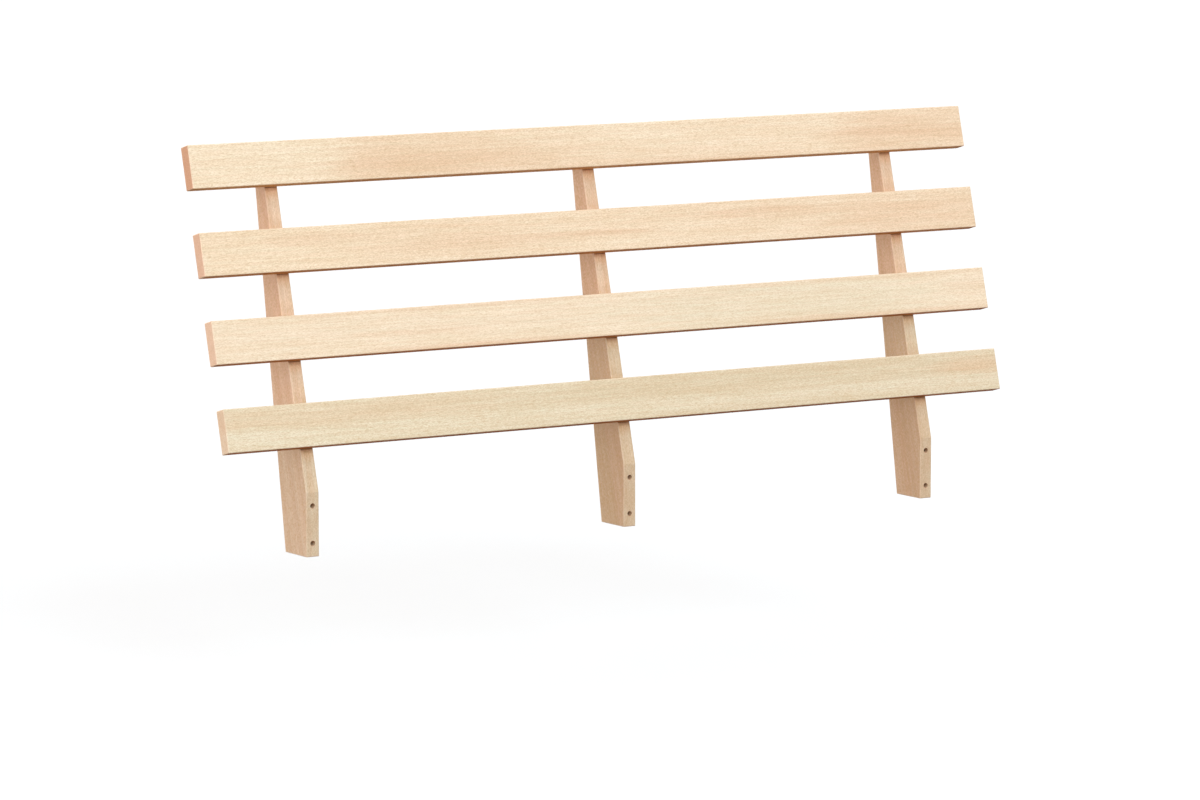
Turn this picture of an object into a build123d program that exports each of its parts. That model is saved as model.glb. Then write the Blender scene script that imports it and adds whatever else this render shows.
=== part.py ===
from build123d import *
import os
from math import cos, radians, sin

# Slatted beech headboard: four flat slats on the front of three raked posts.
# Each post is a wedge sawn from one board, deep at the bed's rail and slim at the top,
# with an upright foot that bolts to the flat outside of the rail.
# X runs along the slats, +Y points back to the wall and +Z up. The origin is the centre
# of the four bed bolts in the outer feet, on the faces that meet the rail.
# Slope heights are measured up the raked front from the knee, where foot and rake meet.

# Slats
slat_names = ["bottom_slat", "lower_slat", "upper_slat", "top_slat"]
slat_length = 1600.0
slat_width = 75.0
slat_thickness = 25.0
slat_gap = 75.0
bottom_slat_height = 75.0
slat_edge_radius = 2.0
slat_end_chamfer = 1.0
slat_overhang = 150.0

# Posts
post_names = ["left_post", "middle_post", "right_post"]
rake_angle = 15.0
post_width = 25.0
post_knee_depth = 90.0
post_top_depth = 25.0
post_top_setback = 5.0
post_edge_radius = 2.0
post_end_chamfer = 1.0
foot_height = 110.0

# Bed bolts: the holes stay empty, because the bolts belong to the bed
bed_bolt_spacing = 64.0
bed_bolt_hole_radius = 4.5
bed_bolt_bore_radius = 8.0
bed_bolt_grip = 60.0

# Slat screws: all alike, so the counterbores take up the taper of the post
screw_radius = 3.0
screw_length = 40.0
screw_grip = 22.0
screw_head_radius = 6.0
screw_head_height = 3.5
hex_socket_radius = 2.0
hex_socket_depth = 2.5
counterbore_radius = 7.0
screw_hole_clearance = 0.5
pilot_clearance = 0.05
pilot_spare_depth = 1.0

# Places worked out from the sizes
slat_pitch = slat_width + slat_gap
slope_top = bottom_slat_height + slat_pitch * len(slat_names) - slat_gap
slat_middles = [bottom_slat_height + slat_width / 2 + slat_pitch * row for row in range(len(slat_names))]
outer_post_x = slat_length / 2 - slat_overhang - post_width / 2
post_places = [-outer_post_x, 0, outer_post_x]
knee_z = foot_height / 2
rake_sine = sin(radians(rake_angle))
rake_cosine = cos(radians(rake_angle))

# The raked plane where slats meet posts: x along the slats, y up the slope, z out to the front
rake = Plane(origin=(0, 0, knee_z), x_dir=(1, 0, 0), z_dir=(0, -rake_cosine, rake_sine))

# The back of a post is one straight cut from the foot to the top
knee_back_slope = post_knee_depth * rake_sine
taper_share = (post_knee_depth * rake_cosine - post_top_depth) / (slope_top - knee_back_slope)


def depth_at(slope):
    """Depth of a post behind the raked plane, square to it."""
    return post_top_depth + (slope_top - slope) * taper_share


def back_y_at(z):
    """How far behind the rail the back of a post is at one height."""
    top = rake.from_local_coords((0, slope_top, -post_top_depth))
    return post_knee_depth + (z - knee_z) * (top.Y - post_knee_depth) / (top.Z - knee_z)


def facing_back(x, slope, depth=0):
    """A plane square to the rake that faces back, at a depth inside a post."""
    return Plane(origin=rake.from_local_coords((x, slope, -depth)), x_dir=(1, 0, 0), z_dir=-rake.z_dir)


def runs_up(edge):
    """Whether an edge runs up a post rather than across it."""
    direction = edge.tangent_at(0)
    return abs(direction.Z) > abs(direction.Y)


def make_slat(middle):
    """One slat: a planed board with eased ends and rounded long edges, drilled from behind."""
    with BuildPart() as slat:
        with BuildSketch(rake):
            with Locations((0, middle)):
                Rectangle(slat_length, slat_width)
        extrude(amount=slat_thickness)
        chamfer(slat.faces().filter_by(Axis.X).edges(), length=slat_end_chamfer)
        fillet(slat.edges().filter_by(Axis.X), radius=slat_edge_radius)
        with Locations(*[facing_back(x, middle) for x in post_places]):
            Hole(
                radius=screw_radius + pilot_clearance,
                depth=screw_length - screw_grip + pilot_spare_depth,
            )
    return slat


def make_post(x):
    """One post: a raked wedge on an upright foot, bored for slat screws and bed bolts."""
    foot_z = knee_z - foot_height
    end_slope = slope_top - post_top_setback
    top_front = rake.from_local_coords((0, end_slope, 0))
    top_back = rake.from_local_coords((0, end_slope, -depth_at(end_slope)))
    with BuildPart() as post:
        with BuildSketch(Plane.YZ.offset(x - post_width / 2)):
            with BuildLine():
                Polyline(
                    (0, foot_z),
                    (0, knee_z),
                    (top_front.Y, top_front.Z),
                    (top_back.Y, top_back.Z),
                    (back_y_at(foot_z), foot_z),
                    close=True,
                )
            make_face()
        extrude(amount=post_width)
        chamfer(post.faces().sort_by(Axis.Z)[0].edges(), length=post_end_chamfer)
        chamfer(post.faces().sort_by(Axis.Z)[-1].edges(), length=post_end_chamfer)
        fillet(post.faces().filter_by(Axis.X).edges().filter_by(runs_up), radius=post_edge_radius)
        for middle in slat_middles:
            depth = depth_at(middle)
            with Locations(facing_back(x, middle, depth)):
                CounterBoreHole(
                    radius=screw_radius + screw_hole_clearance,
                    counter_bore_radius=counterbore_radius,
                    counter_bore_depth=depth - screw_grip,
                    depth=depth,
                )
        for z in (-bed_bolt_spacing / 2, bed_bolt_spacing / 2):
            depth = back_y_at(z)
            with Locations(Plane(origin=(x, depth, z), x_dir=(1, 0, 0), z_dir=(0, 1, 0))):
                CounterBoreHole(
                    radius=bed_bolt_hole_radius,
                    counter_bore_radius=bed_bolt_bore_radius,
                    counter_bore_depth=depth - bed_bolt_grip,
                    depth=depth,
                )
    return post


def make_group(piece, places):
    """The same piece at several places, as separate solids."""
    with BuildPart() as group:
        with Locations(*places):
            add(piece.part)
    return group


def save(builder, name):
    """Label a finished piece and write it under its name."""
    builder.part.label = name
    export_step(builder.part, f"parts/{name}.step")


os.makedirs("parts", exist_ok=True)

# Slat screw: blunt end, flat washer head and hex socket, its zero height on the raked plane
with BuildPart() as screw:
    with BuildSketch(Plane.XY.offset(screw_grip - screw_length)):
        Circle(screw_radius)
    extrude(amount=screw_length)
    with BuildSketch(Plane.XY.offset(screw_grip)):
        Circle(screw_head_radius)
    extrude(amount=screw_head_height)
    with BuildSketch(Plane.XY.offset(screw_grip + screw_head_height)):
        RegularPolygon(radius=hex_socket_radius, side_count=6, major_radius=False)
    extrude(amount=-hex_socket_depth, mode=Mode.SUBTRACT)

for name, middle in zip(slat_names, slat_middles):
    save(make_slat(middle), name)

# Posts, each with the four screws that it carries
for name, x in zip(post_names, post_places):
    save(make_post(x), name)
    save(make_group(screw, [facing_back(x, middle) for middle in slat_middles]), f"{name}_screws")
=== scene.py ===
# %% [markdown]
# # A slatted beech headboard
# Four flat slats of solid beech cross three raked posts. Each post is a wedge, deep at its
# upright foot, where it gets bolted on, and slim at the top. The slats and posts come ready made
# as solids, so this lesson gives them a camera, soft light and real wood, and models the screws
# that hold them together. First the solids are loaded, and a helper is made that measures the
# box each one fills. Nothing made here may grow out of it.

# %% Load the solids
import math

import bpy
from mathutils import Matrix, Vector


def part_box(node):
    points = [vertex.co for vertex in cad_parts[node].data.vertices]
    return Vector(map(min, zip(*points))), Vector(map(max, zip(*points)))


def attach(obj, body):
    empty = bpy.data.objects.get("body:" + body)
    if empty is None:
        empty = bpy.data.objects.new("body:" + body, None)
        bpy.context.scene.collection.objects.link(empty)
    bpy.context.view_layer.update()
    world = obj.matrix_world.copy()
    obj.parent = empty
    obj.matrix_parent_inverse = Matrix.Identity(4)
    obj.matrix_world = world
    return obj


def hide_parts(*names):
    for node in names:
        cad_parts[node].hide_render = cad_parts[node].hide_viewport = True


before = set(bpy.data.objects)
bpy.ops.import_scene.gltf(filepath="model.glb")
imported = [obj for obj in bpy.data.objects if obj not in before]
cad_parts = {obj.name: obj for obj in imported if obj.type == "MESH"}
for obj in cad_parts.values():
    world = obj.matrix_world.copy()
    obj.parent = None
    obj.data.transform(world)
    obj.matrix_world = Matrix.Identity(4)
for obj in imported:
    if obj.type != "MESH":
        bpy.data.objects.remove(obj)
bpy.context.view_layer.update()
print("solids:", ", ".join(sorted(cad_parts)))

# %% [markdown]
# ## The lean of the boards
# Everything above the knee, where the foot of a post ends, leans back by 15 degrees. It is
# easier to think along the slope than in upright heights, so two directions are kept: up the
# slope, and straight back through the boards. Every later cell that places or paints something
# uses them.

# %% Two directions and a point on the slope
RAKE = math.radians(15)
KNEE_HEIGHT = 0.055
TOP_SLAT_EDGE = 0.600
UP_THE_SLOPE = Vector((0, math.sin(RAKE), math.cos(RAKE)))
STRAIGHT_BACK = Vector((0, math.cos(RAKE), -math.sin(RAKE)))


def on_slope(x, slope, depth=0.0):
    """A point by its place along the slats, up the slope, and behind the front of the posts."""
    return Vector((x, 0, KNEE_HEIGHT)) + UP_THE_SLOPE * slope + STRAIGHT_BACK * depth


print("lean:", round(math.degrees(RAKE)), "degrees")
print("top of the slats at", round(on_slope(0, TOP_SLAT_EDGE).z, 4))

# %% [markdown]
# ## The camera
# The headboard was taken from well to its left and a little above, from ten metres away with a
# long lens, so its edges stay nearly parallel. A lens this long on a full frame sensor gives the
# same flat look. No shift is used, because other views of the same camera would keep it.

# %% Set up the camera
LENS = 171.98
CAMERA_PLACE = (-5.3869, -8.3318, 1.4470)
CAMERA_TURN = math.radians(32.585)
CAMERA_DIP = math.radians(7.345)

camera_data = bpy.data.cameras.new("long_lens")
camera_data.sensor_width = 36
camera_data.lens = LENS
camera = bpy.data.objects.new("camera", camera_data)
camera.location = CAMERA_PLACE
camera.rotation_euler = (math.pi / 2 - CAMERA_DIP, 0, -CAMERA_TURN)
bpy.context.scene.collection.objects.link(camera)
bpy.context.scene.camera = camera
bpy.context.scene.view_settings.view_transform = "Standard"
print("camera:", LENS, "mm lens at", CAMERA_PLACE)

# %% [markdown]
# ## Nodes in few words
# Every finish below is made of shader nodes. A few small helpers keep that readable: they empty
# a node tree, add a node and feed its inputs in order, do one sum, ease a value from one level
# to another, and mix two colours or tint one. A feed is a plain value or the output of another
# node.

# %% Helpers for node trees


def empty_tree(owner):
    """The node tree of a material or world, with nothing in it."""
    owner.use_nodes = True
    owner.node_tree.nodes.clear()
    return owner.node_tree


def feed(tree, socket, value):
    """Put a plain value, or the output of another node, into one input."""
    if isinstance(value, bpy.types.NodeSocket):
        tree.links.new(value, socket)
    elif value is not None:
        socket.default_value = value


def add_node(tree, kind, *values, **settings):
    """Add a shader node, set its options, and feed its inputs from the first on."""
    node = tree.nodes.new("ShaderNode" + kind)
    for name, setting in settings.items():
        setattr(node, name, setting)
    for socket, value in zip(node.inputs, values):
        feed(tree, socket, value)
    return node


def calc(tree, operation, *values):
    """One sum with a Math node."""
    return add_node(tree, "Math", *values, operation=operation).outputs[0]


def calc_vector(tree, operation, *values):
    """One sum with a Vector Math node; a length comes out as a number."""
    node = add_node(tree, "VectorMath", *values, operation=operation)
    return node.outputs["Value" if operation in ("LENGTH", "DOT_PRODUCT") else "Vector"]


def ease(tree, value, low, high, start=0.0, end=1.0):
    """Turn a value that runs from low to high into one that eases from start to end."""
    node = add_node(tree, "MapRange", value, low, high, start, end)
    node.interpolation_type = "SMOOTHSTEP"
    return node.outputs["Result"]


def blend_colours(tree, share, first, second, blend_type="MIX"):
    """Mix the second colour over the first one by a share."""
    node = add_node(tree, "Mix", data_type="RGBA", blend_type=blend_type)
    feed(tree, node.inputs[0], share)
    feed(tree, node.inputs[6], first)
    feed(tree, node.inputs[7], second)
    return node.outputs[2]


def tinted(tree, share, colour, tint):
    """Multiply a colour by a tint, fully where the share is 1 and not at all where it is 0."""
    return blend_colours(tree, share, colour, tint, "MULTIPLY")


print("node helpers ready")

# %% [markdown]
# ## Soft studio light
# Most of the light is a wide sky that is brighter on the left and behind, so the left end grain
# and the sides and backs of the posts are only a little darker than the fronts. One low, very
# soft lamp, nearly straight in front, adds the rest and throws the narrow shadows of the slats
# on the posts. The sky is a little warm and the lamp a little cool, so the fronts, which get both,
# come out as their colour is written, while shaded parts turn warmer. A sun lamp with a wide
# angle lights all of a long slat alike, where a near area lamp would fade towards one end.

# %% Sky and lamp
WHITE = (1, 1, 1, 1)
SKY_TINT = (1.08, 0.985, 0.93, 1)
LAMP_TINT = (0.86, 1.01, 1.10)
SKY_AT_HORIZON = 0.95
SKY_OVERHEAD = 0.48
SKY_FROM_LEFT = 1.10
SKY_FROM_BEHIND = 0.50
LAMP_LEVEL = 0.40
LAMP_TURN = math.radians(8)
LAMP_HEIGHT = math.radians(27)
LAMP_SOFTNESS = math.radians(24)


def seen_directly(tree):
    """1 for rays from the camera and for those that mirror or pass through, else 0."""
    path = add_node(tree, "LightPath")
    mirrored = calc(tree, "MAXIMUM", path.outputs["Is Glossy Ray"], path.outputs["Is Transmission Ray"])
    return calc(tree, "MAXIMUM", path.outputs["Is Camera Ray"], mirrored)


sky = bpy.data.worlds.new("studio_sky")
bpy.context.scene.world = sky
tree = empty_tree(sky)
direction = add_node(tree, "TexCoord").outputs["Generated"]
parts = add_node(tree, "SeparateXYZ", direction).outputs
level = add_node(tree, "MapRange", parts["Z"], 0, 1, SKY_AT_HORIZON, SKY_OVERHEAD).outputs["Result"]
to_the_left = calc(tree, "MAXIMUM", calc(tree, "MULTIPLY", parts["X"], -1), 0)
to_the_back = calc(tree, "MAXIMUM", parts["Y"], 0)
level = calc(tree, "MULTIPLY_ADD", to_the_left, SKY_FROM_LEFT, level)
level = calc(tree, "MULTIPLY_ADD", to_the_back, SKY_FROM_BEHIND, level)
light = add_node(tree, "Background", SKY_TINT, level).outputs[0]
backdrop = add_node(tree, "Background", WHITE, 1.0).outputs[0]
both = add_node(tree, "MixShader", seen_directly(tree), light, backdrop).outputs[0]
add_node(tree, "OutputWorld", both)

lamp_data = bpy.data.lights.new("soft_lamp", "SUN")
lamp_data.energy = LAMP_LEVEL * math.pi
lamp_data.color = LAMP_TINT
lamp_data.angle = LAMP_SOFTNESS
lamp = bpy.data.objects.new("soft_lamp", lamp_data)
lamp.rotation_euler = (math.pi / 2 - LAMP_HEIGHT, 0, -LAMP_TURN)
bpy.context.scene.collection.objects.link(lamp)
print("sky from", SKY_AT_HORIZON, "to", SKY_OVERHEAD, "and a lamp at", LAMP_LEVEL)

# %% [markdown]
# ## The floor
# A headboard is bolted on well above the floor, so the floor only catches its faint shadow. To
# the camera the floor is white, made of a pale diffuse and a little glow. For the light that
# bounces off it, it is dark and warm, or the undersides of the slats would be lit as brightly as
# their fronts. Seen from below it is clear, so that it never hides the headboard.

# %% Lay the floor
FLOOR_HEIGHT = -0.3525
FLOOR_SIZE = 160.0
FLOOR_PALE = (0.785, 0.845, 0.885, 1)
FLOOR_BOUNCE = (0.115, 0.072, 0.050, 1)
FLOOR_GLOW = 0.10

bpy.ops.object.select_all(action="DESELECT")
bpy.ops.mesh.primitive_plane_add(size=FLOOR_SIZE, location=(0, 0, FLOOR_HEIGHT))
floor = bpy.context.object
floor.name = "floor"
bpy.ops.object.transform_apply(location=True, rotation=True, scale=True)
paint = bpy.data.materials.new("studio_floor")
tree = empty_tree(paint)
pale = add_node(tree, "BsdfDiffuse", FLOOR_PALE).outputs[0]
glow = add_node(tree, "Emission", WHITE, FLOOR_GLOW).outputs[0]
lit = add_node(tree, "AddShader", pale, glow).outputs[0]
bounce = add_node(tree, "BsdfDiffuse", FLOOR_BOUNCE).outputs[0]
top = add_node(tree, "MixShader", seen_directly(tree), bounce, lit).outputs[0]
clear = add_node(tree, "BsdfTransparent").outputs[0]
underneath = add_node(tree, "NewGeometry").outputs["Backfacing"]
add_node(tree, "OutputMaterial", add_node(tree, "MixShader", underneath, top, clear).outputs[0])
floor.data.materials.append(paint)
print("floor at", FLOOR_HEIGHT)

# %% [markdown]
# ## Board space
# Wood grain follows the board and not the room, so each board gets its own axes: x along the
# grain, y through its thickness and z across its width. A Mapping node set to Texture takes
# the object's coordinates there and back by a place and a turn. The slats only lean. The posts
# also stand, so their grain axis is turned up the slope.

# %% Turns from board to room
SLAT_TURN = Matrix.Rotation(-RAKE, 3, "X")
POST_TURN = SLAT_TURN @ Matrix.Rotation(-math.pi / 2, 3, "Y")


def to_board(tree, output, place, turn):
    """Object coordinates or a normal, as seen from a board at a place and with a turn."""
    node = add_node(tree, "Mapping", output, vector_type="TEXTURE")
    node.inputs["Location"].default_value = place
    node.inputs["Rotation"].default_value = turn.to_euler()
    return node.outputs["Vector"]


print("grain of a post runs along", (POST_TURN @ Vector((1, 0, 0))).to_tuple(3))

# %% [markdown]
# ## Shared effects as node groups
# Each effect of the wood is a node group with named inputs and outputs, built once and used by
# all seven boards with their own values. This helper makes an empty group with its sockets.

# %% A helper for node groups
KINDS = {"vector": "NodeSocketVector", "value": "NodeSocketFloat", "colour": "NodeSocketColor"}


def new_group(name, inputs, outputs):
    """An empty node group, and its inputs as sockets to draw from."""
    tree = bpy.data.node_groups.new(name, "ShaderNodeTree")
    for label, kind in inputs.items():
        tree.interface.new_socket(label, in_out="INPUT", socket_type=KINDS[kind])
    for label, kind in outputs.items():
        tree.interface.new_socket(label, in_out="OUTPUT", socket_type=KINDS[kind])
    return tree, tree.nodes.new("NodeGroupInput").outputs


def finish_group(tree, **results):
    """Connect the results of a group to its outputs."""
    end = tree.nodes.new("NodeGroupOutput")
    for label, result in results.items():
        tree.links.new(result, end.inputs[label.replace("_", " ").capitalize()])
    print("group", tree.name, "has", len(tree.nodes), "nodes")


def use_group(tree, name, **values):
    """Place a group in a tree and feed its named inputs."""
    node = tree.nodes.new("ShaderNodeGroup")
    node.node_tree = bpy.data.node_groups[name]
    for label, value in values.items():
        feed(tree, node.inputs[label.replace("_", " ").capitalize()], value)
    return node.outputs


# %% [markdown]
# ## Grain noise
# Nearly everything in wood is long and thin. This group is a noise whose lumps have a length
# along the grain and a width across it, in metres. Stretched a little it is a soft cloud of
# colour, and stretched a lot it is a fleck or a pore. The seed moves it to another part of the
# tree, so that no two boards are alike, and a turn about the grain keeps the noise's own grid
# from lining up with the faces of a board.

# %% Group: grain noise
SEED_STEP = (3.1, 1.7, 2.3)
NOISE_TURN = 0.6
NOISE_ROUGHNESS = 0.6

tree, given = new_group(
    "grain_noise",
    {"Board": "vector", "Length": "value", "Width": "value", "Detail": "value", "Seed": "value"},
    {"Noise": "value"},
)
lump = add_node(tree, "CombineXYZ", given["Length"], given["Width"], given["Width"]).outputs[0]
stretched = calc_vector(tree, "DIVIDE", given["Board"], lump)
step = add_node(tree, "CombineXYZ", *SEED_STEP).outputs[0]
shift = add_node(tree, "VectorMath", step, operation="SCALE")
feed(tree, shift.inputs["Scale"], given["Seed"])
moved = calc_vector(tree, "ADD", stretched, shift.outputs["Vector"])
turned = add_node(tree, "VectorRotate", moved, rotation_type="X_AXIS")
feed(tree, turned.inputs["Angle"], NOISE_TURN)
noise = add_node(tree, "TexNoise")
feed(tree, noise.inputs["Vector"], turned.outputs[0])
feed(tree, noise.inputs["Scale"], 1.0)
feed(tree, noise.inputs["Detail"], given["Detail"])
feed(tree, noise.inputs["Roughness"], NOISE_ROUGHNESS)
finish_group(tree, noise=noise.outputs["Fac"])

# %% [markdown]
# ## Growth rings
# A tree adds a ring a year, and a sawn board cuts through them. The group measures how far a
# point is from the tree's heart, wavers that distance a little, and divides it into rings.
# Each ring darkens slowly to its late wood and then starts pale again. The heart's place
# decides the look: level with the board it gives fine straight lines, behind it wide arches.

# %% Group: growth rings
RING_WIDTH = 0.0031
RING_WAVER = 0.010
WAVER_LENGTH = 0.55
WAVER_WIDTH = 0.05
LATE_WOOD_POWER = 2.5

tree, given = new_group(
    "growth_rings", {"Board": "vector", "Heart": "vector", "Seed": "value"}, {"Late wood": "value"}
)
waver = use_group(
    tree, "grain_noise", board=given["Board"], length=WAVER_LENGTH, width=WAVER_WIDTH,
    detail=2.0, seed=given["Seed"],
)[0]
from_heart = calc_vector(tree, "SUBTRACT", given["Board"], given["Heart"])
across = calc_vector(tree, "MULTIPLY", from_heart, (0, 1, 1))
radius = calc(tree, "ADD", calc_vector(tree, "LENGTH", across), calc(tree, "MULTIPLY", waver, RING_WAVER))
in_ring = calc(tree, "FRACT", calc(tree, "DIVIDE", radius, RING_WIDTH))
finish_group(tree, late_wood=calc(tree, "POWER", in_ring, LATE_WOOD_POWER))

# %% [markdown]
# ## Stains and seams
# Beech darkens in long, soft patches towards its heart, and a wide board is often glued from
# two strips of different tone. A stain is a spindle of colour with a place and a size, broken
# up by grain noise so that its edges fray along the grain. Its left end can be blunt, because
# real ones often start at once and then fade slowly; with a size below zero the blunt end is the
# right one. A seam is a straight line along the board, with the second strip above it.

# %% Groups: stain and seam
FRAY_LENGTH = 0.16
FRAY_WIDTH = 0.009
FRAY_REACH = 1.5
STAIN_FULL = 0.25
STAIN_GONE = 1.15
SEAM_BLUR = 0.0008

tree, given = new_group(
    "stain",
    {"Board": "vector", "Place": "vector", "Size": "vector", "Blunt": "value", "Seed": "value"},
    {"Stain": "value"},
)
fray = use_group(
    tree, "grain_noise", board=given["Board"], length=FRAY_LENGTH, width=FRAY_WIDTH, detail=3.0,
    seed=given["Seed"],
)[0]
fray = calc(tree, "MULTIPLY_ADD", fray, FRAY_REACH, -FRAY_REACH / 2)
offset = calc_vector(tree, "SUBTRACT", given["Board"], given["Place"])
parts = add_node(tree, "SeparateXYZ", calc_vector(tree, "DIVIDE", offset, given["Size"])).outputs
before = calc(tree, "MULTIPLY", calc(tree, "MULTIPLY", parts["X"], -1), given["Blunt"])
spindle = add_node(tree, "CombineXYZ", calc(tree, "MAXIMUM", parts["X"], before), 0, parts["Z"]).outputs[0]
reach = calc(tree, "ADD", calc_vector(tree, "LENGTH", spindle), fray)
finish_group(tree, stain=ease(tree, reach, STAIN_FULL, STAIN_GONE, 1.0, 0.0))

tree, given = new_group("seam", {"Board": "vector", "Line": "value"}, {"Upper strip": "value"})
across = add_node(tree, "SeparateXYZ", given["Board"]).outputs["Z"]
over = calc(tree, "SUBTRACT", across, given["Line"])
finish_group(tree, upper_strip=ease(tree, over, -SEAM_BLUR, SEAM_BLUR))

# %% [markdown]
# ## Softened arrises
# The long edges of planed boards, the arrises, are rounded by two millimetres and then sanded
# and handled more than the flats. Planed beech later makes them paler, partly for that wear and
# partly as a painted highlight. On the surface the nearest face is at distance zero, so the
# second nearest one says how near the arris is. The group takes the distances to the faces
# across the thickness, across the width and at the ends, and picks the middle one of the three.

# %% Group: arris
ARRIS_REACH = 0.0032

tree, given = new_group(
    "arris", {"Through": "value", "Across": "value", "Along": "value"}, {"Arris": "value"}
)
low = calc(tree, "MINIMUM", given["Through"], given["Across"])
high = calc(tree, "MAXIMUM", given["Through"], given["Across"])
middle = calc(tree, "MAXIMUM", low, calc(tree, "MINIMUM", high, given["Along"]))
finish_group(tree, arris=ease(tree, middle, 0.0, ARRIS_REACH, 1.0, 0.0))

# %% [markdown]
# ## Planed beech
# This group turns one tone into wood. It adds soft clouds, long thin streaks, a faint blush that
# wanders between pink and green, a fine speckle, growth rings, the short dark flecks and dashes
# that mark beech, and fine pores. The faces that run with the thickness are pinker and show the
# rays of beech as small dark bars across the grain, and the end grain drinks the oil and is the
# darkest and pinkest. The group also gives a roughness and a height, because the pores are tiny
# grooves.
#
# All of these are the same grain noise at different sizes. The first table holds each mark's
# length, its width, its detail and its own place in the tree. The second holds the two levels of
# the noise between which the mark comes up.

# %% Group: planed beech
GRAIN_SIZES = {
    "cloud": (0.22, 0.016, 3.0, 0.0),
    "streak": (0.14, 0.0032, 2.0, 7.0),
    "blush": (0.06, 0.0040, 1.0, 11.0),
    "speckle": (0.0038, 0.0009, 1.0, 3.0),
    "fleck": (0.0070, 0.0009, 1.5, 5.0),
    "dash": (0.018, 0.0013, 1.0, 9.0),
    "ray": (0.0036, 0.0062, 1.0, 21.0),
    "pore": (0.0035, 0.00028, 1.0, 13.0),
    "fuzz": (0.002, 0.0009, 2.0, 17.0),
}
MARK_LEVELS = {
    "cloud": (0.3, 0.7),
    "streak": (0.3, 0.7),
    "blush": (0.3, 0.7),
    "speckle": (0.3, 0.7),
    "fleck": (0.54, 0.66),
    "dash": (0.58, 0.72),
    "ray": (0.48, 0.66),
    "pore": (0.55, 0.70),
}
FLECK_SHARE = 0.44
DASH_SHARE = 0.31
RAY_SHARE = 0.36
PORE_SHARE = 0.16
ARRIS_SHARE = 0.10
RING_SHARE = 0.10
RING_SHARE_AT_ENDS = 0.32
END_GRAIN_FACING = (0.6, 0.9)
SIDE_FACING = (0.70, 0.95)
OILED_ROUGHNESS = 0.56
FLECKS_ROUGHER_BY = 0.05
CLOUDS_ROUGHER_BY = 0.06
ENDS_ROUGHER_BY = 0.12
ARRIS_SMOOTHER_BY = 0.08
PORE_DEPTH = 0.6
FLECK_DEPTH = 0.4
FUZZ_DEPTH = 0.35
FLECK_BROWN = (0.60, 0.40, 0.19, 1)
PORE_BROWN = (0.52, 0.34, 0.22, 1)
LATE_BROWN = (0.72, 0.50, 0.33, 1)
CLOUD_PALE = (1.012, 1.020, 1.030, 1)
CLOUD_DEEP = (0.985, 0.968, 0.948, 1)
STREAK_PALE = (1.035, 1.055, 1.085, 1)
STREAK_DEEP = (0.965, 0.945, 0.915, 1)
BLUSH_PINK = (1.008, 0.994, 0.990, 1)
BLUSH_GREEN = (0.992, 1.006, 1.008, 1)
SPECKLE_PALE = (1.10, 1.12, 1.17, 1)
SPECKLE_DEEP = (0.89, 0.86, 0.79, 1)
ARRIS_WEAR_AND_HIGHLIGHT = (1.0, 0.90, 0.78, 1)

tree, given = new_group(
    "planed_beech",
    {
        "Board": "vector", "Facing": "vector", "Heart": "vector", "Arris": "value",
        "Tone": "colour", "Side tint": "colour", "End tint": "colour", "Flecking": "value", "Seed": "value",
    },
    {"Colour": "colour", "Roughness": "value", "Height": "value"},
)


def grain(name):
    """The grain noise of one kind of mark, at its own place in this board's tree."""
    length, width, detail, place = GRAIN_SIZES[name]
    seed = calc(tree, "ADD", given["Seed"], place)
    return use_group(
        tree, "grain_noise", board=given["Board"], length=length, width=width, detail=detail, seed=seed
    )[0]


def marks(name):
    """Where one kind of mark shows, from 0 to 1."""
    return ease(tree, grain(name), *MARK_LEVELS[name])


def share_of(mask, strength):
    """A mask at a part of its full strength."""
    return calc(tree, "MULTIPLY", mask, strength)


facing = add_node(tree, "SeparateXYZ", calc_vector(tree, "ABSOLUTE", given["Facing"]))
end_grain = ease(tree, facing.outputs["X"], *END_GRAIN_FACING)
side = ease(tree, facing.outputs["Z"], *SIDE_FACING)

cloud = marks("cloud")
colour = tinted(tree, 1.0, given["Tone"], blend_colours(tree, cloud, CLOUD_DEEP, CLOUD_PALE))
colour = tinted(tree, 1.0, colour, blend_colours(tree, marks("streak"), STREAK_DEEP, STREAK_PALE))
colour = tinted(tree, 1.0, colour, blend_colours(tree, marks("blush"), BLUSH_GREEN, BLUSH_PINK))
speckles = blend_colours(tree, marks("speckle"), SPECKLE_DEEP, SPECKLE_PALE)
colour = tinted(tree, given["Flecking"], colour, speckles)

late = use_group(tree, "growth_rings", board=given["Board"], heart=given["Heart"], seed=given["Seed"])[0]
ring_share = calc(tree, "MULTIPLY_ADD", end_grain, RING_SHARE_AT_ENDS - RING_SHARE, RING_SHARE)
colour = blend_colours(tree, calc(tree, "MULTIPLY", late, ring_share), colour, LATE_BROWN)

flecks = marks("fleck")
pores = marks("pore")
fleck_share = calc(tree, "MULTIPLY", share_of(flecks, FLECK_SHARE), given["Flecking"])
dash_share = calc(tree, "MULTIPLY", share_of(marks("dash"), DASH_SHARE), given["Flecking"])
ray_share = calc(tree, "MULTIPLY", share_of(marks("ray"), RAY_SHARE), side)
for share in (fleck_share, dash_share, ray_share):
    colour = blend_colours(tree, share, colour, FLECK_BROWN)
colour = blend_colours(tree, share_of(pores, PORE_SHARE), colour, PORE_BROWN)

colour = tinted(tree, side, colour, given["Side tint"])
colour = tinted(tree, end_grain, colour, given["End tint"])
# Paler arrises: partly sanding wear, partly a painted highlight.
colour = blend_colours(tree, share_of(given["Arris"], ARRIS_SHARE), colour, ARRIS_WEAR_AND_HIGHLIGHT)

roughness = calc(tree, "MULTIPLY_ADD", flecks, FLECKS_ROUGHER_BY, OILED_ROUGHNESS)
roughness = calc(tree, "MULTIPLY_ADD", cloud, CLOUDS_ROUGHER_BY, roughness)
roughness = calc(tree, "MULTIPLY_ADD", given["Arris"], -ARRIS_SMOOTHER_BY, roughness)
roughness = calc(tree, "MULTIPLY_ADD", end_grain, ENDS_ROUGHER_BY, roughness)

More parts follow.
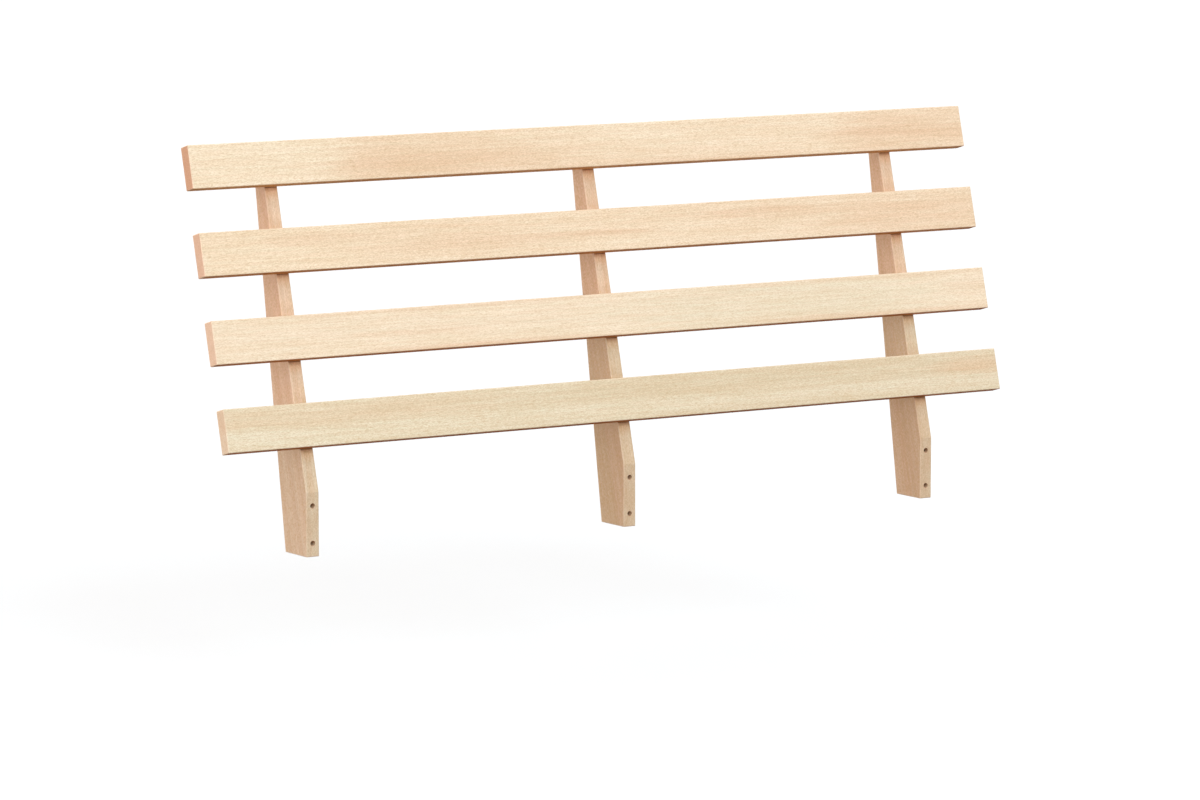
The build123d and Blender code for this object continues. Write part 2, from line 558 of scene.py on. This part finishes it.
hollow = calc(tree, "ADD", share_of(pores, PORE_DEPTH), share_of(flecks, FLECK_DEPTH))
height = calc(tree, "SUBTRACT", share_of(grain("fuzz"), FUZZ_DEPTH), hollow)
finish_group(tree, colour=colour, roughness=roughness, height=height)

# %% [markdown]
# ## The slats
# Each slat is its own board, so each gets its own material: its tones at the left and right
# end, a seam, and a few stains. The tones are written as a colour picker shows them and turned
# into the plain light values that shaders use. The top slat is the pinkest, the lower one the
# palest, and the bottom one is greener and darker with a clear seam. The undersides are tinted
# a deeper brown, each in its own tone, which is painted shade for the little light they get.

# %% Tones as a colour picker shows them


def tone(red, green, blue):
    """A picker's colour, each part up to 255, as a shader's colour."""
    shares = [part / 255 for part in (red, green, blue)]
    return tuple(((share + 0.055) / 1.055) ** 2.4 for share in shares) + (1,)


HEART_PINK = tone(230, 193, 158)
HEART_BROWN = tone(210, 190, 154)
SAP_GREEN = tone(234, 223, 196)
SIDE_TINT = (0.95, 0.87, 0.82, 1)
END_TINT = (0.99, 0.82, 0.78, 1)

# %% [markdown]
# A slat's list of stains gives, for each one, where it is along and across the slat, how far it
# reaches both ways, how blunt its start is, its tone, and its strength. They are placed where
# the real boards are darker or greener.

# %% What each slat looks like
# Each slat's underside tone is painted shade.
SLAT_WOOD = {
    "top_slat": {
        "left": tone(249, 233, 206),
        "right": tone(247, 228, 201),
        "end": (0.77, 0.545, 0.485, 1),
        "seam": 0.050,
        "upper": (1, 1, 1, 1),
        "painted_underside_shade": (1.12, 0.86, 0.57, 1),
        "heart": (0, 0.16, -0.02),
        "seed": 1.0,
        "flecking": 1.0,
        "stains": [
            (-0.42, 0.004, 0.46, 0.075, 3.6, HEART_PINK, 0.32),
            (-0.40, -0.010, 0.46, 0.022, 3.2, HEART_PINK, 0.36),
            (-0.10, -0.022, 0.60, 0.016, 1.0, HEART_PINK, 0.20),
            (0.10, -0.035, 0.72, 0.012, 1.0, HEART_PINK, 0.30),
            (0.62, 0.000, 0.46, 0.060, 4.0, HEART_PINK, 0.34),
            (0.62, -0.006, 0.36, 0.020, 2.0, HEART_PINK, 0.34),
        ],
    },
    "upper_slat": {
        "left": tone(248, 230, 202),
        "right": tone(246, 226, 199),
        "end": (0.885, 0.74, 0.745, 1),
        "seam": 0.0045,
        "upper": (0.99, 0.98, 0.97, 1),
        "painted_underside_shade": (0.81, 0.45, 0.205, 1),
        "heart": (0, 0.09, 0.05),
        "seed": 2.0,
        "flecking": 1.0,
        "stains": [
            (-0.62, 0.017, 0.18, 0.014, 2.0, HEART_PINK, 0.28),
            (-0.34, -0.002, 0.36, 0.036, 1.6, HEART_PINK, 0.22),
            (-0.22, -0.006, 0.30, 0.012, 1.0, HEART_PINK, 0.24),
            (0.00, -0.005, 0.16, 0.007, 1.0, HEART_PINK, 0.36),
            (0.34, 0.016, 0.20, 0.014, 1.0, HEART_PINK, 0.38),
            (0.62, -0.006, 0.36, 0.040, 1.6, HEART_PINK, 0.38),
        ],
    },
    "lower_slat": {
        "left": tone(247, 229, 202),
        "right": tone(248, 231, 205),
        "end": (0.925, 0.82, 0.82, 1),
        "seam": -0.033,
        "upper": (1.0, 1.01, 1.02, 1),
        "painted_underside_shade": (0.665, 0.30, 0.11, 1),
        "heart": (0, 0.22, 0.03),
        "seed": 3.0,
        "flecking": 0.82,
        "stains": [
            (0.46, -0.006, -0.62, 0.070, 2.0, SAP_GREEN, 0.60),
            (-0.30, -0.034, 0.26, 0.006, 1.0, HEART_PINK, 0.50),
            (-0.40, -0.006, 0.20, 0.007, 1.0, HEART_PINK, 0.22),
            (0.56, -0.034, 0.36, 0.009, 1.0, HEART_PINK, 0.40),
            (-0.30, 0.033, 0.40, 0.006, 1.0, HEART_PINK, 0.30),
            (0.56, 0.033, 0.40, 0.005, 1.0, HEART_PINK, 0.20),
            (0.76, 0.006, 0.14, 0.030, 2.0, HEART_PINK, 0.16),
        ],
    },
    "bottom_slat": {
        "left": tone(236, 225, 198),
        "right": tone(233, 221, 195),
        "end": (0.99, 0.93, 0.96, 1),
        "seam": -0.0055,
        "upper": (0.975, 0.955, 0.93, 1),
        "painted_underside_shade": (0.74, 0.265, 0.072, 1),
        "heart": (0, 0.12, -0.06),
        "seed": 4.0,
        "flecking": 1.0,
        "stains": [
            (-0.50, 0.014, -0.55, 0.022, 2.0, HEART_PINK, 0.20),
            (0.20, 0.016, 0.66, 0.030, 1.0, HEART_BROWN, 0.30),
            (0.16, -0.034, 0.80, 0.010, 1.0, HEART_BROWN, 0.30),
            (0.74, 0.010, 0.20, 0.020, 2.0, HEART_PINK, 0.40),
        ],
    },
}

# %% [markdown]
# Now the recipe for one slat. Its tone drifts from the left end to the right, the strip above
# the seam is tinted, the stains are laid on one after the other, and the undersides get their
# painted shade. Planed beech then adds the grain. The bump is kept very shallow, because a planed
# and oiled board feels smooth, and the oil is matt, with hardly any shine left on the undersides,
# which darkens them further.

# %% Make the slats' wood
SLAT_LENGTH = 1.6
SLAT_WIDTH = 0.075
SLAT_THICKNESS = 0.025
SLAT_HALF = Vector((SLAT_LENGTH, SLAT_THICKNESS, SLAT_WIDTH)) / 2
UNDERSIDE_FACING = (-0.95, -0.60)
UNDERSIDE_SHINE_FACING = (-0.8, -0.2)
SHINE = 0.20
UNDERSIDE_SHINE = 0.03
BUMP_DEPTH = 0.00012
BUMP_STRENGTH = 0.35


def distance_inside(tree, value, half):
    """How far inside a face a point is, on either side of the middle."""
    return calc(tree, "SUBTRACT", half, calc(tree, "ABSOLUTE", value))


def finish_wood(tree, wood, shine=SHINE):
    """The shader of a board: matt oil over the colour, roughness and height of its wood."""
    shader = add_node(tree, "BsdfPrincipled")
    feed(tree, shader.inputs["Base Color"], wood["Colour"])
    feed(tree, shader.inputs["Roughness"], wood["Roughness"])
    feed(tree, shader.inputs["Specular IOR Level"], shine)
    bump = add_node(tree, "Bump")
    bump.inputs["Strength"].default_value = BUMP_STRENGTH
    bump.inputs["Distance"].default_value = BUMP_DEPTH
    feed(tree, bump.inputs["Height"], wood["Height"])
    feed(tree, shader.inputs["Normal"], bump.outputs["Normal"])
    add_node(tree, "OutputMaterial", shader.outputs[0])


def slat_material(name, look):
    """The wood of one slat."""
    material = bpy.data.materials.new(name + "_beech")
    tree = empty_tree(material)
    low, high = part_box(name)
    source = add_node(tree, "TexCoord")
    board = to_board(tree, source.outputs["Object"], (low + high) / 2, SLAT_TURN)
    facing = to_board(tree, source.outputs["Normal"], (0, 0, 0), SLAT_TURN)
    parts = add_node(tree, "SeparateXYZ", board)

    along = ease(tree, parts.outputs["X"], -SLAT_HALF.x, SLAT_HALF.x)
    colour = blend_colours(tree, along, look["left"], look["right"])
    upper = use_group(tree, "seam", board=board, line=look["seam"])[0]
    colour = tinted(tree, upper, colour, look["upper"])
    for number, (x, z, reach_x, reach_z, blunt, stain_tone, strength) in enumerate(look["stains"]):
        stain = use_group(
            tree, "stain", board=board, place=(x, 0, z), size=(reach_x, 1, reach_z), blunt=blunt,
            seed=look["seed"] + number,
        )[0]
        colour = blend_colours(tree, calc(tree, "MULTIPLY", stain, strength), colour, stain_tone)
    upwards = add_node(tree, "SeparateXYZ", facing).outputs["Z"]
    # Painted shade: the faces that look down are tinted a deeper brown.
    painted_underside_shade = ease(tree, upwards, *UNDERSIDE_FACING, 1.0, 0.0)
    colour = tinted(tree, painted_underside_shade, colour, look["painted_underside_shade"])

    arris = use_group(
        tree, "arris",
        through=distance_inside(tree, parts.outputs["Y"], SLAT_HALF.y),
        across=distance_inside(tree, parts.outputs["Z"], SLAT_HALF.z),
        along=distance_inside(tree, parts.outputs["X"], SLAT_HALF.x),
    )[0]
    wood = use_group(
        tree, "planed_beech", board=board, facing=facing, heart=look["heart"], arris=arris, tone=colour,
        side_tint=SIDE_TINT, end_tint=look["end"], flecking=look["flecking"], seed=look["seed"],
    )
    finish_wood(tree, wood, ease(tree, upwards, *UNDERSIDE_SHINE_FACING, UNDERSIDE_SHINE, SHINE))
    return material


def give_material(piece, material):
    """Put one material on all of a solid."""
    piece.data.materials.clear()
    piece.data.materials.append(material)


for name, look in SLAT_WOOD.items():
    give_material(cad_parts[name], slat_material(name, look))
    print(name, "has", len(look["stains"]), "stains")

# %% [markdown]
# ## The posts
# The posts are sawn from one board each and stand with their narrow side to the front, so most
# of what shows is the pinker wood of the sides. Their grain runs up the slope. The distances for
# the arris group differ from those of a slat: the back of the wedge is a slanted face, and the
# front is the nearer of two, the raked one and the upright one of the foot.

# %% What each post looks like
POST_HALF_WIDTH = 0.0125
POST_TOP_SLOPE = 0.595
POST_TOP_DEPTH = 0.0255
POST_TAPER = 0.10739
POST_FLECKING = 1.15
POST_PINK = tone(231, 205, 179)
POST_DEEP = tone(226, 196, 168)
POST_GREEN = (0.885, 0.965, 0.95, 1)
# Painted shade: the tint of a post's front just under each slat.
PAINTED_SHADE_BROWN = (1.005, 0.845, 0.71, 1)
# Painted contact shadow: a thin dark line right under each slat.
CONTACT_SHADOW_BROWN = (0.50, 0.40, 0.33, 1)
# Painted shade: the tint of a post's front just above each slat's ledge.
LEDGE_SHADE_TINT = (0.87, 0.85, 0.85, 1)
LOWEST_SLAT_EDGE = 0.075
SLAT_PITCH = 0.150
# The middle and right posts get darker side tints than the left one: painted shade, for light that falls
# off towards the right.
POST_WOOD = {
    "left_post": {
        "seam": 0.0035, "upper": (0.97, 0.95, 0.94, 1), "heart": (0, 0.03, 0.10), "seed": 11.0,
        "side": (0.955, 0.92, 0.94, 1), "low": (1.08, 1.07, 1.07, 1), "greener below": 0.15,
        "depth seam": 0.030, "behind": (1.0, 1.03, 1.06, 1),
    },
    "middle_post": {
        "seam": -0.0045, "upper": (0.98, 0.96, 0.95, 1), "heart": (0, 0.05, -0.09), "seed": 12.0,
        "side": (0.88, 0.835, 0.83, 1), "low": (1.03, 0.99, 0.97, 1), "greener below": 0.26,
        "depth seam": 0.043, "behind": (0.98, 1.01, 0.98, 1),
    },
    "right_post": {
        "seam": 0.0015, "upper": (0.98, 0.96, 0.95, 1), "heart": (0, 0.02, 0.12), "seed": 13.0,
        "side": (0.88, 0.845, 0.845, 1), "low": (1.02, 0.96, 0.93, 1), "greener below": 0.26,
        "depth seam": 0.050, "behind": (1.04, 1.03, 1.04, 1),
    },
}


def middle_x(name):
    """How far along the slats the middle of a post is."""
    low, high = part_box(name)
    return (low.x + high.x) / 2


for name in POST_WOOD:
    print(name, "stands at x", round(middle_x(name), 4))

# %% [markdown]
# Seen from the front, a post's own z axis points to the left, so the seam's upper strip is the
# left one. Darker strips also show on the deep sides, and come from a noise that is long up the
# slope and wide through the wedge, and low down, where the wedge is widest, a second seam runs
# through its depth. Right under each slat the front is tinted a deeper brown, which is painted
# shade from the slat above, darkest in a thin line of painted contact shadow at the joint. Just
# above the ledge of the next slat it is tinted a little duller, which is painted shade as well.
# The slats are evenly spaced, so one fraction of the height up the slope finds these places at
# every slat. Each pair of heights below says where such a mask begins and where it ends.

# %% Make the posts' wood
POST_STRIP_LENGTH = 0.60
POST_STRIP_WIDTH = 0.014
POST_STRIP_LEVELS = (0.35, 0.65)
POST_STRIP_SEED = 20
GREEN_BLUR = 0.03
LOW_WOOD = (0.05, 0.20)
FRONT_FACING = (-0.9, -0.6)
ABOVE_THE_KNEE = (0.0, 0.02)
ABOVE_THE_FIRST_LEDGE = (0.08, 0.12)
CONTACT_SHADOW_BELOW_SLAT = (0.001, 0.0022)
PAINTED_SHADE_BELOW_SLAT = (0.005, 0.028)
LEDGE_SHADE_BEGINS = (0.047, 0.067)
LEDGE_SHADE_ENDS = (0.076, 0.085)


def post_material(name, look):
    """The wood of one post."""
    material = bpy.data.materials.new(name + "_beech")
    tree = empty_tree(material)
    source = add_node(tree, "TexCoord")
    board = to_board(tree, source.outputs["Object"], on_slope(middle_x(name), 0), POST_TURN)
    facing = to_board(tree, source.outputs["Normal"], (0, 0, 0), POST_TURN)
    parts = add_node(tree, "SeparateXYZ", board)
    upright = add_node(tree, "SeparateXYZ", source.outputs["Object"])

    strips = use_group(
        tree, "grain_noise", board=board, length=POST_STRIP_LENGTH, width=POST_STRIP_WIDTH, detail=1.0,
        seed=look["seed"] + POST_STRIP_SEED,
    )[0]
    colour = blend_colours(tree, ease(tree, strips, *POST_STRIP_LEVELS), POST_DEEP, POST_PINK)
    upper = use_group(tree, "seam", board=board, line=look["seam"])[0]
    colour = tinted(tree, upper, colour, look["upper"])

    slope = parts.outputs["X"]
    change = look["greener below"]
    green = ease(tree, slope, change - GREEN_BLUR, change + GREEN_BLUR, 1.0, 0.0)
    colour = tinted(tree, green, colour, POST_GREEN)
    low_down = ease(tree, slope, *LOW_WOOD, 1.0, 0.0)
    colour = tinted(tree, low_down, colour, look["low"])
    sideways = add_node(tree, "CombineXYZ", slope, 0, parts.outputs["Y"]).outputs[0]
    behind = use_group(tree, "seam", board=sideways, line=look["depth seam"])[0]
    colour = tinted(tree, calc(tree, "MULTIPLY", low_down, behind), colour, look["behind"])

    slats_down = calc(tree, "DIVIDE", calc(tree, "SUBTRACT", LOWEST_SLAT_EDGE, slope), SLAT_PITCH)
    below_slat = calc(tree, "MULTIPLY", calc(tree, "FRACT", slats_down), SLAT_PITCH)
    front_only = ease(tree, add_node(tree, "SeparateXYZ", facing).outputs["Y"], *FRONT_FACING, 1.0, 0.0)
    # Painted shade: the front of a post is tinted a deeper brown just under each slat.
    painted_shade = calc(tree, "MULTIPLY", front_only, ease(tree, below_slat, *PAINTED_SHADE_BELOW_SLAT, 1.0, 0.0))
    painted_shade = calc(tree, "MULTIPLY", painted_shade, ease(tree, slope, *ABOVE_THE_KNEE))
    colour = tinted(tree, painted_shade, colour, PAINTED_SHADE_BROWN)
    # Painted contact shadow: a thin dark line on the front where it meets the slat above.
    painted_contact_shadow = calc(tree, "MULTIPLY", painted_shade, ease(tree, below_slat, *CONTACT_SHADOW_BELOW_SLAT, 1.0, 0.0))
    colour = tinted(tree, painted_contact_shadow, colour, CONTACT_SHADOW_BROWN)
    # Painted shade: a slightly duller strip on the front just above each slat.
    painted_ledge_shade = calc(tree, "MULTIPLY", front_only, ease(tree, below_slat, *LEDGE_SHADE_BEGINS))
    painted_ledge_shade = calc(tree, "MULTIPLY", painted_ledge_shade, ease(tree, below_slat, *LEDGE_SHADE_ENDS, 1.0, 0.0))
    painted_ledge_shade = calc(tree, "MULTIPLY", painted_ledge_shade, ease(tree, slope, *ABOVE_THE_FIRST_LEDGE))
    colour = tinted(tree, painted_ledge_shade, colour, LEDGE_SHADE_TINT)

    front = calc(tree, "MINIMUM", parts.outputs["Y"], upright.outputs["Y"])
    left_to_top = calc(tree, "SUBTRACT", POST_TOP_SLOPE, slope)
    depth = calc(tree, "MULTIPLY_ADD", left_to_top, POST_TAPER, POST_TOP_DEPTH)
    back = calc(tree, "SUBTRACT", depth, parts.outputs["Y"])
    above_foot = calc(tree, "SUBTRACT", upright.outputs["Z"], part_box(name)[0].z)
    arris = use_group(
        tree, "arris",
        through=calc(tree, "MINIMUM", front, back),
        across=distance_inside(tree, parts.outputs["Z"], POST_HALF_WIDTH),
        along=calc(tree, "MINIMUM", left_to_top, above_foot),
    )[0]
    wood = use_group(
        tree, "planed_beech", board=board, facing=facing, heart=look["heart"], arris=arris, tone=colour,
        side_tint=look["side"], end_tint=END_TINT, flecking=POST_FLECKING, seed=look["seed"],
    )
    finish_wood(tree, wood)
    return material


for name, look in POST_WOOD.items():
    give_material(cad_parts[name], post_material(name, look))
    print(name, "turns greener below", look["greener below"])

# %% [markdown]
# ## Zinc-plated steel
# The screws are bright zinc-plated steel. Plating is metal, so the shader is fully metallic,
# and what makes it real is that it is never even: the colour wanders between a blue and a warm
# grey, and fine turning marks and small scuffs change its gloss.

# %% Steel for the screws
ZINC_BLUE = (0.56, 0.59, 0.62, 1)
ZINC_WARM = (0.64, 0.61, 0.55, 1)
ZINC_PATCH = 0.004
ZINC_PATCH_LEVELS = (0.35, 0.65)
SCUFF_LENGTH = 0.0012
SCUFF_WIDTH = 0.0002
SCUFF_LEVELS = (0.35, 0.75)
SCUFF_DEPTH = 0.00003
SCUFF_STRENGTH = 0.2
ZINC_ROUGHNESS = (0.26, 0.50)


def steel_material():
    """Plated steel with an uneven colour and gloss."""
    material = bpy.data.materials.new("zinc_plated_steel")
    tree = empty_tree(material)
    place = add_node(tree, "TexCoord").outputs["Object"]
    patches = use_group(
        tree, "grain_noise", board=place, length=ZINC_PATCH, width=ZINC_PATCH, detail=2.0, seed=1.0
    )[0]
    scuffs = use_group(
        tree, "grain_noise", board=place, length=SCUFF_LENGTH, width=SCUFF_WIDTH, detail=2.0, seed=2.0
    )[0]
    shader = add_node(tree, "BsdfPrincipled")
    colour = blend_colours(tree, ease(tree, patches, *ZINC_PATCH_LEVELS), ZINC_BLUE, ZINC_WARM)
    feed(tree, shader.inputs["Base Color"], colour)
    feed(tree, shader.inputs["Roughness"], ease(tree, scuffs, *SCUFF_LEVELS, *ZINC_ROUGHNESS))
    shader.inputs["Metallic"].default_value = 1.0
    bump = add_node(tree, "Bump")
    bump.inputs["Strength"].default_value = SCUFF_STRENGTH
    bump.inputs["Distance"].default_value = SCUFF_DEPTH
    feed(tree, bump.inputs["Height"], scuffs)
    feed(tree, shader.inputs["Normal"], bump.outputs["Normal"])
    add_node(tree, "OutputMaterial", shader.outputs[0])
    return material


zinc = steel_material()
print("made", zinc.name)

# %% [markdown]
# ## The slat screw
# A slat is held at each post by one stout screw with a flat washer head and a hex socket, put
# in from behind. A lathe would turn it, and edit mode can do the same: start with one ring of
# edges, then extrude it and scale it, ring by ring, along the axis. The socket comes first, as a
# hexagon whose sides are cut in four, so that the same ring has enough points to turn into the
# round head later. Here the screw stands upright at the centre, its head up, and zero height is
# where slat and post meet. Two lists hold the rounded edge of the head and the blunt tip: for each
# ring, how far it is from that end of the screw, and its radius.

# %% Sizes of the screw
HEAD_TOP = 0.0255
HEAD_SEAT = 0.022
HEAD_RADIUS = 0.006
HEAD_FLAT_RADIUS = 0.0050
HEAD_EDGE = [(0.0003, 0.0056), (0.0009, 0.0059), (0.0017, HEAD_RADIUS)]
HEAD_CHAMFER = 0.0004
SOCKET_HALF_WIDTH = 0.002
SOCKET_DEPTH = 0.0025
SOCKET_CHAMFER = 0.0002
SOCKET_CONE = 0.0005
SHANK_RADIUS = 0.0029
SHANK_END = 0.001
NECK = 0.0003
SHOULDER = 0.0008
CORE_RADIUS = 0.0021
THREAD_RADIUS = 0.00297
THREAD_PITCH = 0.0026
SCREW_TIP = -0.018
TIP_LENGTH = 0.0012
TIP_TAPER = [(TIP_LENGTH, CORE_RADIUS), (0.0003, 0.0015), (0, 0.0008)]
RING_POINTS = 24
SAME_PLACE = 1e-6

# %% [markdown]
# Operators act on what is selected, so these helpers start clean, choose a ring of points by
# its height, and carry a ring on to the next height and radius.

# %% Helpers for turning


def start_clean():
    """Leave edit mode and deselect everything."""
    if bpy.context.object and bpy.context.object.mode == "EDIT":
        bpy.ops.object.mode_set(mode="OBJECT")
    bpy.ops.object.select_all(action="DESELECT")


def select_points(piece, wanted):
    """Select the points of a piece, in edit mode, that a test on their place picks."""
    bpy.ops.object.mode_set(mode="OBJECT")
    for part in (piece.data.vertices, piece.data.edges, piece.data.polygons):
        part.foreach_set("select", [False] * len(part))
    for point in piece.data.vertices:
        point.select = wanted(point.co)
    bpy.ops.object.mode_set(mode="EDIT")
    bpy.ops.mesh.select_mode(type="VERT")


def turn_rings(rings, height, radius):
    """Extrude the selected ring through a list of (height, radius)."""
    for next_height, next_radius in rings:
        bpy.ops.mesh.extrude_region_move(TRANSFORM_OT_translate={"value": (0, 0, next_height - height)})
        share = next_radius / radius
        bpy.ops.transform.resize(value=(share, share, 1), center_override=(0, 0, 0))
        height, radius = next_height, next_radius


print("turning helpers ready")

# %% [markdown]
# The socket is turned from its floor up to the rim, which widens a little, like the chamfer
# that guides a key in.

# %% Turn the socket
start_clean()
socket_floor = HEAD_TOP - SOCKET_DEPTH
socket_corner = SOCKET_HALF_WIDTH / math.cos(math.pi / 6)
bpy.ops.mesh.primitive_circle_add(vertices=6, radius=socket_corner, location=(0, 0, socket_floor))
screw = bpy.context.object
screw.name = "slat_screw"
bpy.ops.object.transform_apply(location=True, rotation=True, scale=True)
bpy.ops.object.mode_set(mode="EDIT")
bpy.ops.mesh.select_all(action="SELECT")
bpy.ops.mesh.subdivide(number_cuts=RING_POINTS // 6 - 1)
turn_rings(
    [(HEAD_TOP - SOCKET_CHAMFER, socket_corner), (HEAD_TOP, socket_corner + SOCKET_CHAMFER)],
    socket_floor,
    socket_corner,
)
print("socket floor at", round(socket_floor, 4), "and its corners at", round(socket_corner, 5))

# %% [markdown]
# The flat top of the head is the rim of the socket, extruded outwards at the same height. It is
# still six-sided then, and To Sphere moves its points to their mean distance from the centre,
# which makes it round. Bridging to a separate circle would be quicker, but can pair the two
# rings the wrong way round. From the rim the outside runs over the rounded washer edge, under
# the head, down the plain shank and the thinner core of the thread, and to a blunt tip. Last, the
# floor of the socket gets the shallow cone that a punch leaves.

# %% Head, shank and core
select_points(screw, lambda co: abs(co.z - HEAD_TOP) < SAME_PLACE)
rim = [point.co.xy.length for point in screw.data.vertices if point.select]
turn_rings([(HEAD_TOP, HEAD_FLAT_RADIUS)], HEAD_TOP, sum(rim) / len(rim))
bpy.ops.transform.tosphere(value=1.0, center_override=(0, 0, HEAD_TOP))
head = [(HEAD_TOP - drop, radius) for drop, radius in HEAD_EDGE]
head += [(HEAD_SEAT + HEAD_CHAMFER, HEAD_RADIUS), (HEAD_SEAT, HEAD_RADIUS - HEAD_CHAMFER)]
shank = [(HEAD_SEAT, SHANK_RADIUS + NECK), (HEAD_SEAT - NECK, SHANK_RADIUS), (SHANK_END, SHANK_RADIUS)]
core = [(SHANK_END - SHOULDER, CORE_RADIUS)]
core += [(SCREW_TIP + rise, radius) for rise, radius in TIP_TAPER]
turn_rings(head + shank + core, HEAD_TOP, HEAD_FLAT_RADIUS)
bpy.ops.mesh.edge_face_add()
select_points(screw, lambda co: abs(co.z - socket_floor) < SAME_PLACE)
turn_rings([(socket_floor - SOCKET_CONE, socket_corner / 2)], socket_floor, socket_corner)
bpy.ops.mesh.edge_face_add()
bpy.ops.mesh.select_all(action="SELECT")
bpy.ops.mesh.normals_make_consistent(inside=False)
bpy.ops.object.mode_set(mode="OBJECT")
print("turned body has", len(screw.data.polygons), "faces")

# %% [markdown]
# ## The thread
# A thread is a small triangle swept round the core while it climbs, which is exactly what the
# Screw modifier does. The triangle is closed and its base lies inside the core, so the ridge is
# a solid of its own.

# %% Cut the thread
THREAD_TURNS = 6
THREAD_START = SCREW_TIP + TIP_LENGTH
RIDGE_HALF = 0.0008
RIDGE_ROOT = CORE_RADIUS - 0.0003

start_clean()
bpy.ops.mesh.primitive_circle_add(vertices=3, radius=RIDGE_HALF, location=(0, 0, 0))
thread = bpy.context.object
corners = [
    (RIDGE_ROOT, 0, THREAD_START),
    (THREAD_RADIUS, 0, THREAD_START + RIDGE_HALF),
    (RIDGE_ROOT, 0, THREAD_START + 2 * RIDGE_HALF),
]
bpy.ops.object.transform_apply(location=True, rotation=True, scale=True)
for point, corner in zip(thread.data.vertices, corners):
    point.co = corner
climb = thread.modifiers.new("climb", "SCREW")
climb.axis = "Z"
climb.screw_offset = THREAD_PITCH
climb.iterations = THREAD_TURNS
climb.steps = climb.render_steps = RING_POINTS
bpy.ops.object.modifier_apply(modifier=climb.name)
print("thread climbs", THREAD_TURNS, "turns in", len(thread.data.vertices), "points")

# %% [markdown]
# A real thread runs out, so the first and the last crest are pinched down to the core. The open
# ends are then filled, and the ridge is joined to the turned body. Shading is smooth but for the
# edges sharper than 35 degrees, so the turned faces look round and the socket stays crisp.

# %% Close the thread's ends and join it to the screw
SMOOTH_BELOW = math.radians(35)

crests = [point for point in thread.data.vertices if point.co.xy.length > THREAD_RADIUS - SAME_PLACE]
crests.sort(key=lambda point: point.co.z)
for point in (crests[0], crests[-1]):
    point.co.xy *= CORE_RADIUS / THREAD_RADIUS
bpy.ops.object.mode_set(mode="EDIT")
bpy.ops.mesh.select_all(action="DESELECT")
bpy.ops.mesh.select_mode(type="EDGE")
bpy.ops.mesh.select_non_manifold()
bpy.ops.mesh.edge_face_add()
bpy.ops.mesh.fill_holes(sides=3)
bpy.ops.mesh.select_all(action="SELECT")
bpy.ops.mesh.normals_make_consistent(inside=False)
bpy.ops.object.mode_set(mode="OBJECT")
start_clean()
thread.select_set(True)
screw.select_set(True)
bpy.context.view_layer.objects.active = screw
bpy.ops.object.join()
bpy.ops.object.shade_smooth_by_angle(angle=SMOOTH_BELOW)
screw.data.materials.append(zinc)
print("one screw has", len(screw.data.polygons), "faces")

# %% [markdown]
# ## Twelve screws
# One screw sits behind the middle of each slat in each post. The finished screw is copied with
# its own mesh, stood along the bore, and the four of a post are joined into one piece, which
# takes the place of that post's plain screws. The deep bores at the foot and the shallow ones
# near the top leave the same grip under every head, so all twelve are alike.

# %% Put the screws in the posts
FIRST_SLAT_MIDDLE = LOWEST_SLAT_EDGE + SLAT_WIDTH / 2
SLAT_SLOPES = [FIRST_SLAT_MIDDLE + SLAT_PITCH * row for row in range(len(SLAT_WOOD))]

for name in POST_WOOD:
    copies = []
    for slope in SLAT_SLOPES:
        start_clean()
        screw.select_set(True)
        bpy.context.view_layer.objects.active = screw
        bpy.ops.object.duplicate()
        copy = bpy.context.object
        copy.rotation_euler = (-math.pi / 2 - RAKE, 0, 0)
        copy.location = on_slope(middle_x(name), slope)
        bpy.ops.object.transform_apply(location=True, rotation=True, scale=True)
        copies.append(copy)
    for copy in copies:
        copy.select_set(True)
    bpy.context.view_layer.objects.active = copies[0]
    bpy.ops.object.join()
    group = bpy.context.object
    group.name = name + "_slat_screws"
    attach(group, "root")
    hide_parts(name + "_screws")
    print(group.name, "has", len(group.data.polygons), "faces")
bpy.data.objects.remove(screw)
